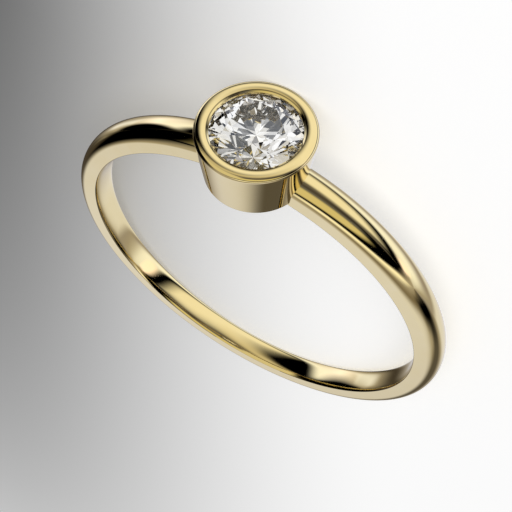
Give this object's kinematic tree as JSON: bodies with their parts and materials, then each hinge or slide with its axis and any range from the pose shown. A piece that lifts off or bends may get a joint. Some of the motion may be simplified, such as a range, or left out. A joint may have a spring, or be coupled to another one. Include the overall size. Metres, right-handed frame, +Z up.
{
  "type": "bezel set ring",
  "caption": "Slim finger ring lying on its side: a band with flat side walls and a domed outside, and one round brilliant stone in a low conical bezel cup.",
  "frame": {"origin": "middle of the ring from front to back and from side to side, on the surface that it lies on", "axes": "+Z up from the surface; +Y from the bezel cup to the back of the band; +X across the finger hole. The finger's own axis leans 5 degrees from +Z towards +Y, because the cup is wider than the band."},
  "size_m": [0.0194, 0.0212, 0.0048],
  "materials": {
    "gold": "polished pale yellow gold",
    "stone": "polished colourless facets"
  },
  "bodies": {
    "root": {"ring_body": "gold", "stone": "stone"}
  },
  "joints": []
}
